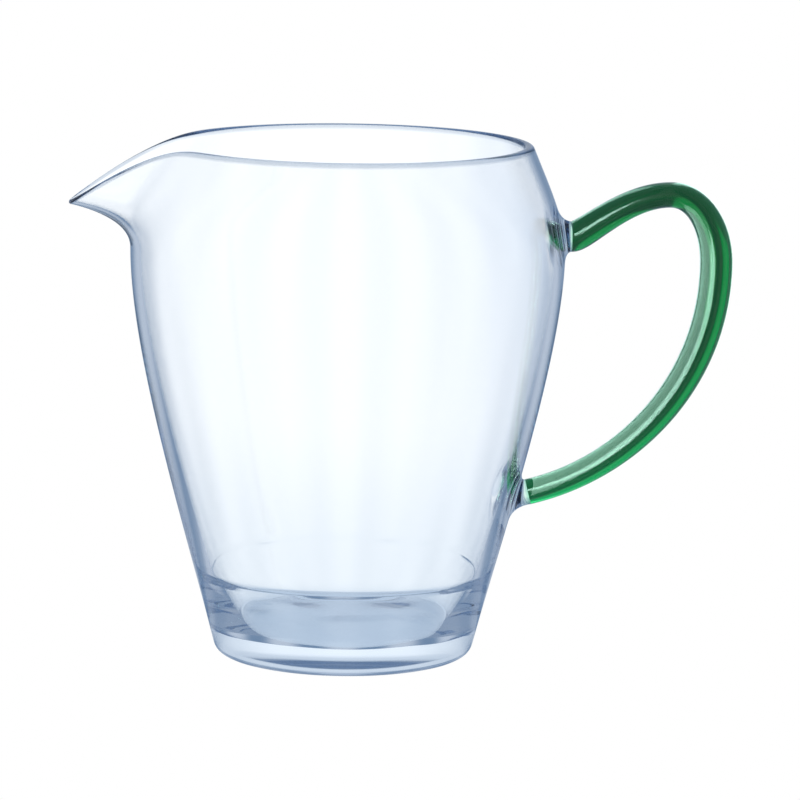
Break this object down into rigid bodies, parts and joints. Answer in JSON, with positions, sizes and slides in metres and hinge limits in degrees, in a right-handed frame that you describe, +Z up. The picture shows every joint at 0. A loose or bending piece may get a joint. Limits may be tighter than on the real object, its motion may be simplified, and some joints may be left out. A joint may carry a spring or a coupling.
{
  "type": "glass tea pitcher",
  "caption": "Clear blown-glass pitcher with a rounded shoulder, a drawn drooping spout, a thick base and a bent green glass rod as its handle, for serving tea.",
  "frame": {"origin": "on the vessel's axis, at the flat underside that stands on the table", "axes": "+Z up along the vessel's axis, +X towards the handle (the spout points to -X), +Y to the left of someone looking along +X"},
  "size_m": [0.1286, 0.084, 0.0999],
  "materials": {
    "clear_glass": "polished",
    "green_glass": "polished"
  },
  "bodies": {
    "root": {"glass_body": "clear_glass", "upper_handle_seal": "clear_glass", "lower_handle_seal": "clear_glass", "handle": "green_glass"}
  },
  "joints": []
}
